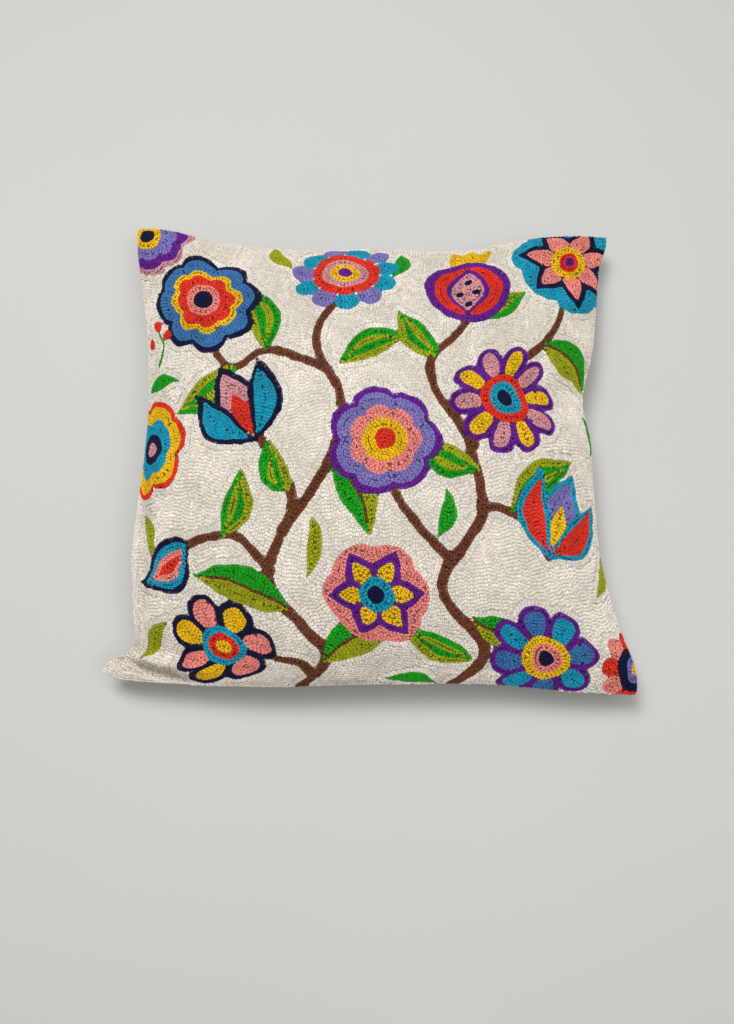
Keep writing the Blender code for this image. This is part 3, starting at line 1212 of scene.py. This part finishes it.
class CushionCoverSettings(bpy.types.PropertyGroup):
    """Sizes and colour of the cover."""

    pressure: FloatProperty(
        name="Filling pressure", description="How hard the filling pushes the panels out",
        default=4.0, min=0.0,
    )
    spare: FloatProperty(
        name="Spare cloth", description="Share by which the panels are larger than the fill",
        default=0.018, min=0.0, max=0.2, subtype="FACTOR",
    )
    cap: length_setting("Largest move", "How far the filling may move the cloth", 0.005)
    seam_depth: length_setting("Seam depth", "How far the seam lies behind the panels' turned edges", 0.0012)
    pile: length_setting("Stitch height", "How far the cloth lies below the tops of the stitches", 0.0009)
    colour: colour_setting("Cloth", "Colour of the cotton duck", "D9CFBC")


class CushionYarnSettings(bpy.types.PropertyGroup):
    """Sizes of the chain stitches."""

    row: length_setting("Row spacing", "Distance between rows of stitches", 0.00245)
    pitch: length_setting("Stitch length", "Distance from one link to the next", 0.0030)
    thickness: length_setting("Yarn thickness", "Height of a link over the cloth", 0.0013)
    ground_pieces: IntProperty(
        name="Ground pieces", description="How many pieces the ground stitches are split into",
        default=4, min=1,
    )


class CushionStageSettings(bpy.types.PropertyGroup):
    """The floor and the light round the cushion."""

    floor_colour: colour_setting("Floor", "Colour of the floor", "B5B4B2")
    power: FloatProperty(
        name="Light", description="Power of the large soft light", default=29.5, unit="POWER",
    )


class CUSHION_OT_cover(bpy.types.Operator):
    """Sew the two panels of the cover together and fill them."""

    bl_idname = "cushion.cover"
    bl_label = "Cushion Cover"

    def execute(self, context):
        settings = context.scene.cushion_cover
        data = as_data(sewn_cover(settings.seam_depth), "cover")
        cover = finished_piece("cover", data, cover_material())
        filled(cover, settings.pressure, settings.spare, settings.cap)
        data = subdivided(cover)
        data.shade_smooth()
        creased(data)
        self.sink_front(data, settings.pile)
        self.painted_shade_and_cloth(data, settings.colour)
        self.lay_out(data)
        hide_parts("cushion")
        return {"FINISHED"}

    def sink_front(self, data, pile):
        """Lowers the front's cloth under the stitches that will lie on it, but not at its seam."""
        places, inside = panel_places(data)
        points, normals = rows_of(data.vertices, "co"), rows_of(data.vertex_normals, "vector")
        share = np.where(places[:, 2] > FRONT, np.clip(inside / PILE_EASE, 0, 1), 0)
        points -= normals * (share * pile)[:, None]
        move_vertices(data, points)

    def painted_shade_and_cloth(self, data, colour):
        """Paints shade on the front's cloth, a dark share of the yarn's colour above it, and gives the back
        its own colour.
        """
        places, _ = panel_places(data)
        pattern = garden()
        column, row = (
            np.clip((places[:, axis] + PANEL / 2) / PIXEL, 0, pattern.count - 1).astype(int)
            for axis in (0, 1)
        )
        zones = pattern.zone[row, column]
        yarns = np.array([linear(YARNS[name]) for name in pattern.yarns])
        # Painted shade: the front's cloth between the links is darkened yarn colour, the ground's less dark.
        gaps = np.where(np.array(pattern.yarns) == "ecru", PAINTED_GROUND_GAP_SHADE, PAINTED_GAP_SHADE)
        front = places[:, 2] > FRONT
        painted_shades_and_cloth = np.ones((len(places), 4))
        painted_shades_and_cloth[:, :3] = np.where(front[:, None], yarns[zones] * gaps[zones, None], np.array(colour[:]))
        layer = data.attributes.new("painted_shade_and_cloth", "FLOAT_COLOR", "POINT")
        layer.data.foreach_set("color", painted_shades_and_cloth.astype(np.float32).ravel())

    def lay_out(self, data):
        """Lays the front in one half of the square for baking, and all other faces in the other half."""
        places, _ = panel_places(data)
        loops = np.empty(len(data.loops), np.int32)
        data.loops.foreach_get("vertex_index", loops)
        starts, totals = (np.empty(len(data.polygons), np.int32) for _ in range(2))
        data.polygons.foreach_get("loop_start", starts)
        data.polygons.foreach_get("loop_total", totals)
        lowest = np.minimum.reduceat(places[loops, 2], starts)
        span = np.array([0.5, 1]) - 2 * BAKE_MARGIN
        uv = ((places[:, :2] / PANEL + 0.5) * span + BAKE_MARGIN)[loops]
        uv[np.repeat(lowest < BAKED_FRONT, totals), 0] += 0.5
        baked = data.uv_layers.new(name="OFBake")
        baked.data.foreach_set("uv", uv.astype(np.float32).ravel())


class CUSHION_OT_embroidery(bpy.types.Operator):
    """Work the ground and the garden on the front in chain stitch, one piece for each yarn."""

    bl_idname = "cushion.embroidery"
    bl_label = "Chain Stitches"

    def execute(self, context):
        settings = context.scene.cushion_yarn
        face = FrontFace(bpy.data.objects["cover"])
        links, yarns = embroider(garden(), settings.row / MM, settings.pitch / MM)
        template = link_template(LINK_LENGTH * MM, LINK_WIDTH * MM, settings.thickness)
        lift = 0.30 * settings.thickness
        for seed, (name, colour) in enumerate(YARNS.items()):
            chosen = links[yarns == name]
            material = yarn_material(f"{name} wool yarn", linear(colour))
            parts = settings.ground_pieces if name == "ecru" else 1
            order = np.argsort(chosen[:, 0])
            for part, rows in enumerate(np.array_split(order, parts)):
                title = f"{name}_stitches_{part + 1}" if parts > 1 else f"{name}_stitches"
                data = stitched_mesh(title, face, chosen[rows], template, lift, 100 * seed + part)
                finished_piece(title, data, material)
        return {"FINISHED"}


class CUSHION_OT_stage(bpy.types.Operator):
    """Lay the floor, light the cushion softly, and set the camera square to its face."""

    bl_idname = "cushion.stage"
    bl_label = "Stage"

    def execute(self, context):
        settings = context.scene.cushion_stage
        mesh = bmesh.new()
        bmesh.ops.create_grid(mesh, x_segments=2, y_segments=2, size=FLOOR_REACH)
        data = as_data(mesh, "floor")
        data.materials.append(floor_material(settings.floor_colour))
        floor = bpy.data.objects.new("floor", data)
        context.scene.collection.objects.link(floor)
        for name, place, size, share in LIGHTS:
            self.light(name, place, size, settings.power * share)
        self.world(context.scene)
        self.camera(context.scene)
        context.scene.view_settings.view_transform = "Standard"
        return {"FINISHED"}

    def light(self, name, place, size, power):
        """A square soft box that points at the cushion."""
        data = bpy.data.lights.new(name, "AREA")
        data.shape = "SQUARE"
        data.size = size
        data.energy = power
        lamp = bpy.data.objects.new(name, data)
        lamp.location = place
        lamp.rotation_euler = (Vector(LIT) - lamp.location).to_track_quat("-Z", "Y").to_euler()
        bpy.context.scene.collection.objects.link(lamp)

    def world(self, scene):
        """An even dim light from all round."""
        world = bpy.data.worlds.new("room")
        world.use_nodes = True
        background = world.node_tree.nodes["Background"]
        background.inputs["Color"].default_value = (*linear(ROOM_COLOUR), 1.0)
        background.inputs["Strength"].default_value = ROOM_STRENGTH
        scene.world = world

    def camera(self, scene):
        """Looks down on the face from the side of the bottom seam, with the face a little off centre."""
        elevation = math.radians(ELEVATION)
        back = Vector((0, -math.cos(elevation), math.sin(elevation)))
        data = bpy.data.cameras.new("camera")
        data.sensor_width = SENSOR_WIDTH
        data.lens = SENSOR_WIDTH * FOCAL_PIXELS / PICTURE_HEIGHT
        camera = bpy.data.objects.new("camera", data)
        right = Vector((1, 0, 0))
        up = right.cross(-back)
        tilt, pan = (math.atan(pixels / FOCAL_PIXELS) for pixels in (ABOVE_MIDDLE, RIGHT_OF_MIDDLE))
        forward = -back * math.cos(tilt) - up * math.sin(tilt)
        up = right.cross(forward)
        forward = (forward - right * math.tan(pan)).normalized()
        right = forward.cross(up).normalized()
        up = right.cross(forward)
        turned = Matrix((right, up, -forward)).transposed().to_4x4()
        camera.matrix_world = Matrix.Translation(Vector(AIM) + back * DISTANCE) @ turned
        scene.collection.objects.link(camera)
        scene.camera = camera


class CUSHION_PT_panel(bpy.types.Panel):
    """Lists the cushion's settings and makers."""

    bl_label = "Embroidered Cushion"
    bl_idname = "CUSHION_PT_panel"
    bl_space_type = "VIEW_3D"
    bl_region_type = "UI"
    bl_category = "Cushion"

    def draw(self, context):
        for group, operator in (
            (context.scene.cushion_cover, "cushion.cover"),
            (context.scene.cushion_yarn, "cushion.embroidery"),
            (context.scene.cushion_stage, "cushion.stage"),
        ):
            box = self.layout.box()
            for name in group.bl_rna.properties.keys():
                if name not in ("rna_type", "name"):
                    box.prop(group, name)
            box.operator(operator)


CLASSES = (
    CushionCoverSettings,
    CushionYarnSettings,
    CushionStageSettings,
    CUSHION_OT_cover,
    CUSHION_OT_embroidery,
    CUSHION_OT_stage,
    CUSHION_PT_panel,
)

GARDEN = []


def garden():
    """The drawing on the panel, drawn once."""
    if not GARDEN:
        GARDEN.append(draw_garden())
    return GARDEN[0]


def register():
    for kind in CLASSES:
        bpy.utils.register_class(kind)
    bpy.types.Scene.cushion_cover = PointerProperty(type=CushionCoverSettings)
    bpy.types.Scene.cushion_yarn = PointerProperty(type=CushionYarnSettings)
    bpy.types.Scene.cushion_stage = PointerProperty(type=CushionStageSettings)


def unregister():
    del bpy.types.Scene.cushion_stage
    del bpy.types.Scene.cushion_yarn
    del bpy.types.Scene.cushion_cover
    for kind in reversed(CLASSES):
        bpy.utils.unregister_class(kind)


def main():
    """Dresses the cushion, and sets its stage."""
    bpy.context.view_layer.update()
    register()
    bpy.ops.cushion.cover()
    bpy.ops.cushion.embroidery()
    bpy.ops.cushion.stage()


if __name__ == "__main__":
    main()
